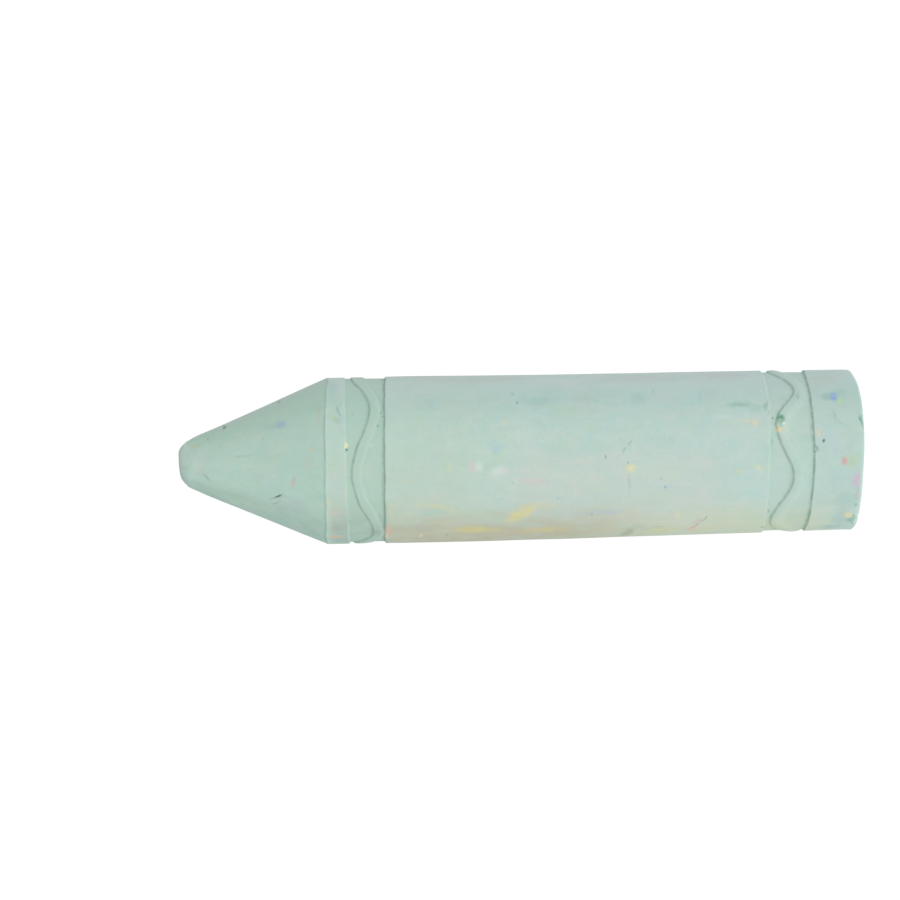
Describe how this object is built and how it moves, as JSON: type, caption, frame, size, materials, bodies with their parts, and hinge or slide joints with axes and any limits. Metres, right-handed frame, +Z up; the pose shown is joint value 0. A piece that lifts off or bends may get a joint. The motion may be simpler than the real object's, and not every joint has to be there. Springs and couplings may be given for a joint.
{
  "type": "chalk stick",
  "caption": "Jumbo sidewalk chalk stick cast as one crayon-shaped piece: tapered nose with a blunt end, round barrel, and a sunken band with a wavy raised line near each end.",
  "frame": {"origin": "centre of the flat butt face, which the stick stands on", "axes": "+Z up along the stick's axis, from the butt to the nose; +X and +Y across it, and -Y faces the side that shows best"},
  "size_m": [0.0256, 0.0256, 0.104],
  "materials": {
    "chalk": "matte, powdery cast chalk in pale mint green"
  },
  "bodies": {
    "root": {"chalk_stick": "chalk"}
  },
  "joints": []
}
